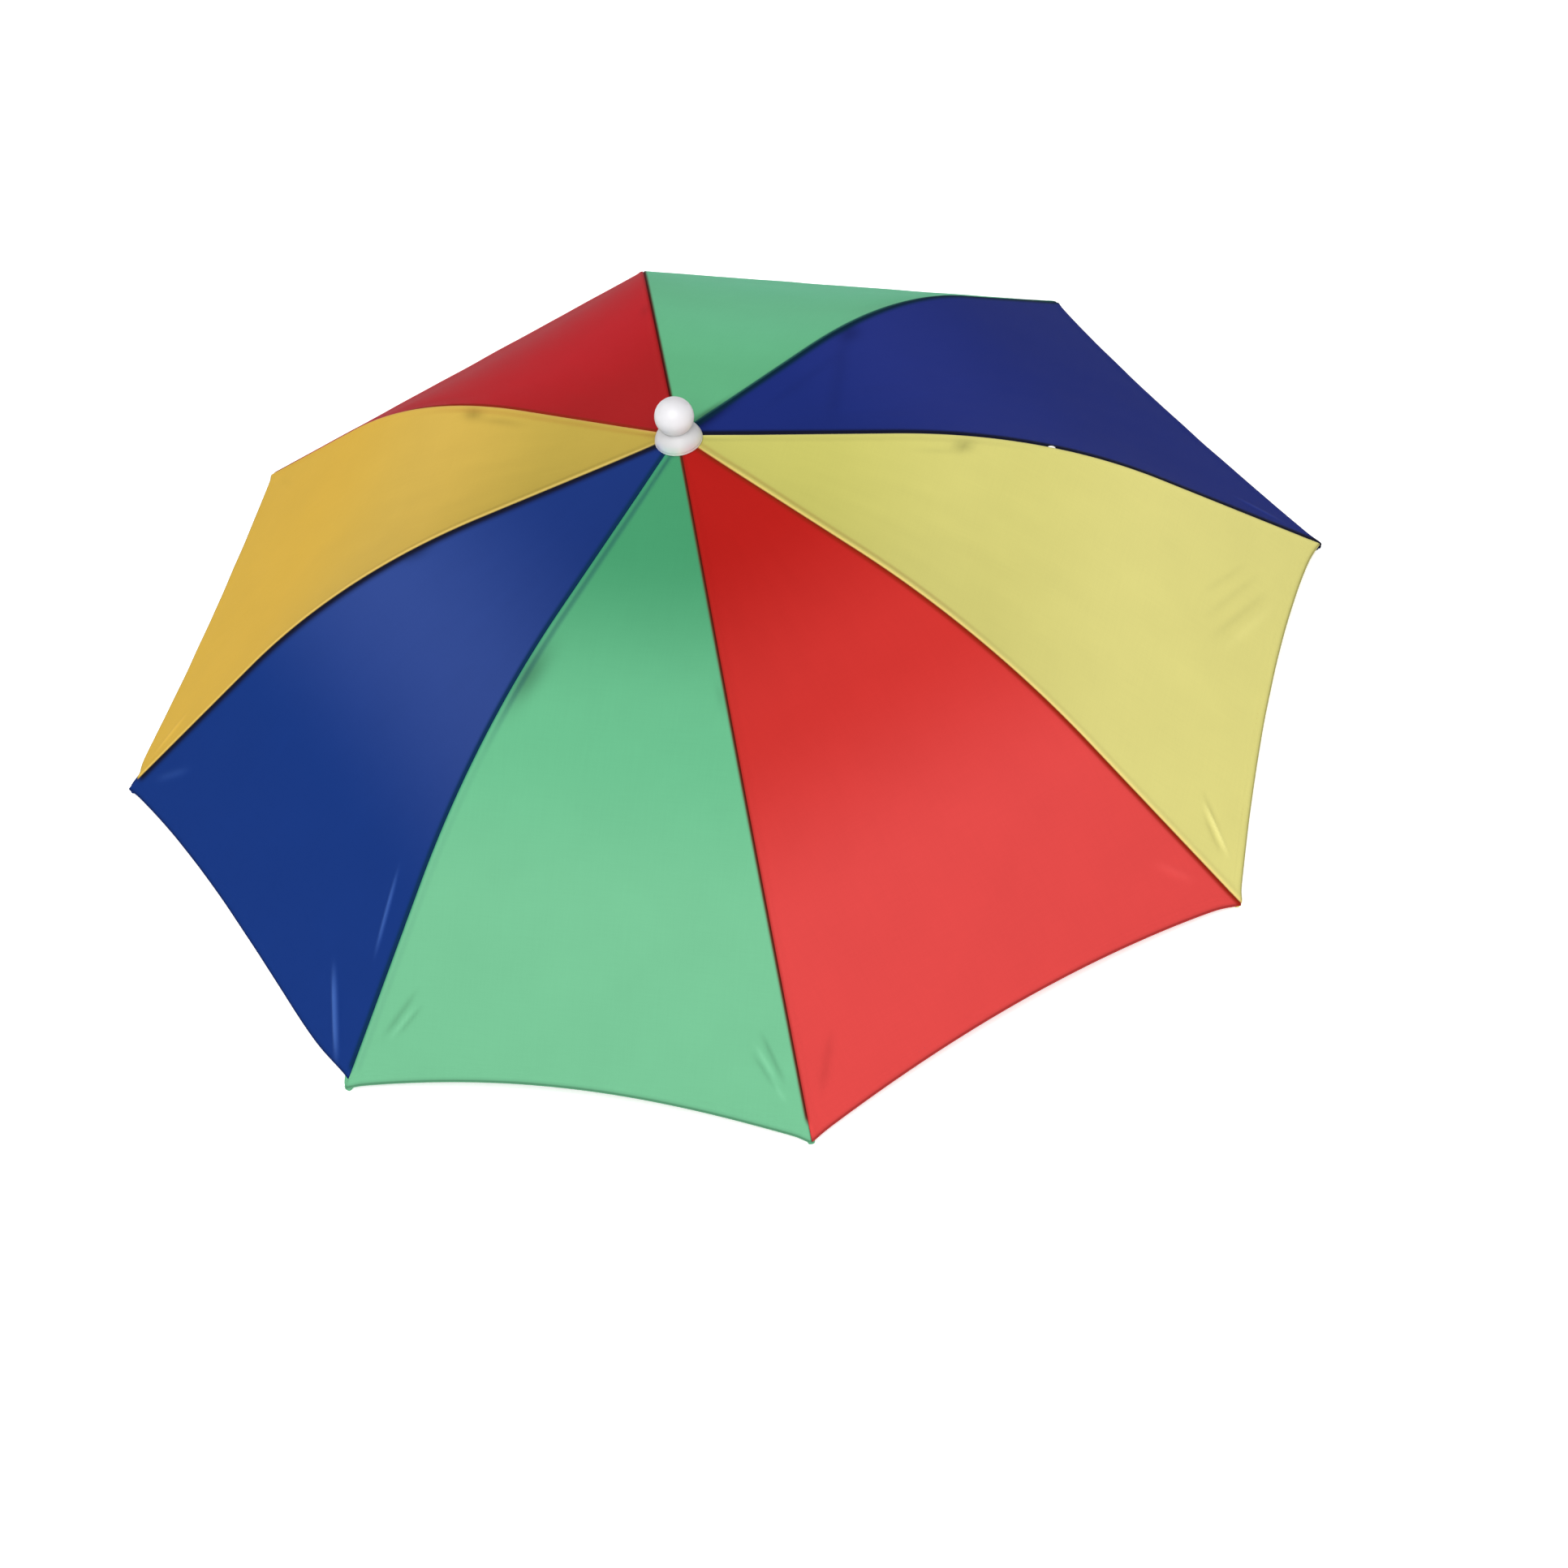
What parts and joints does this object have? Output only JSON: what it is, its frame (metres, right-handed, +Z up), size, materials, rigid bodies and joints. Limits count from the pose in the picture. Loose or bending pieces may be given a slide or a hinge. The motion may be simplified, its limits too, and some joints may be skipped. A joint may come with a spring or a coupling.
{
  "type": "umbrella hat",
  "caption": "Umbrella hat: a domed canopy of coloured cloth panels on wire ribs, with a crown knob and an elastic headband inside.",
  "frame": {"origin": "on the floor under the middle of the hat, level with the feet of the ribs", "axes": "+Z up through the crown knob, -Y towards the front of the picture's view, +X to the right"},
  "size_m": [0.5522, 0.5516, 0.1683],
  "materials": {
    "cloth_green": "fine woven polyester, satin sheen",
    "cloth_blue": "fine woven polyester, satin sheen",
    "cloth_yellow": "fine woven polyester, satin sheen",
    "cloth_red": "fine woven polyester, satin sheen",
    "white_plastic": "smooth moulded, slightly frosted",
    "joint_plastic": "moulded",
    "steel_wire": "drawn wire",
    "elastic": "ribbed woven elastic"
  },
  "bodies": {
    "root": {"panel_green_back": "cloth_green", "panel_blue_back": "cloth_blue", "panel_yellow_right": "cloth_yellow", "panel_red_front": "cloth_red", "panel_green_front": "cloth_green", "panel_blue_left": "cloth_blue", "panel_yellow_left": "cloth_yellow", "panel_red_back": "cloth_red", "rib_1": "steel_wire", "rib_2": "steel_wire", "rib_3": "steel_wire", "rib_4": "steel_wire", "rib_5": "steel_wire", "rib_6": "steel_wire", "rib_7": "steel_wire", "rib_8": "steel_wire", "rib_joint_1": "joint_plastic", "rib_joint_2": "joint_plastic", "rib_joint_3": "joint_plastic", "rib_joint_4": "joint_plastic", "rib_joint_5": "joint_plastic", "rib_joint_6": "joint_plastic", "rib_joint_7": "joint_plastic", "rib_joint_8": "joint_plastic", "brace_1": "steel_wire", "brace_2": "steel_wire", "brace_3": "steel_wire", "brace_4": "steel_wire", "brace_5": "steel_wire", "brace_6": "steel_wire", "brace_7": "steel_wire", "brace_8": "steel_wire", "band_clip_1": "joint_plastic", "band_clip_2": "joint_plastic", "band_clip_3": "joint_plastic", "band_clip_4": "joint_plastic", "band_clip_5": "joint_plastic", "band_clip_6": "joint_plastic", "band_clip_7": "joint_plastic", "band_clip_8": "joint_plastic", "crown_hub": "white_plastic", "crown_knob": "white_plastic", "headband": "elastic"}
  },
  "joints": []
}
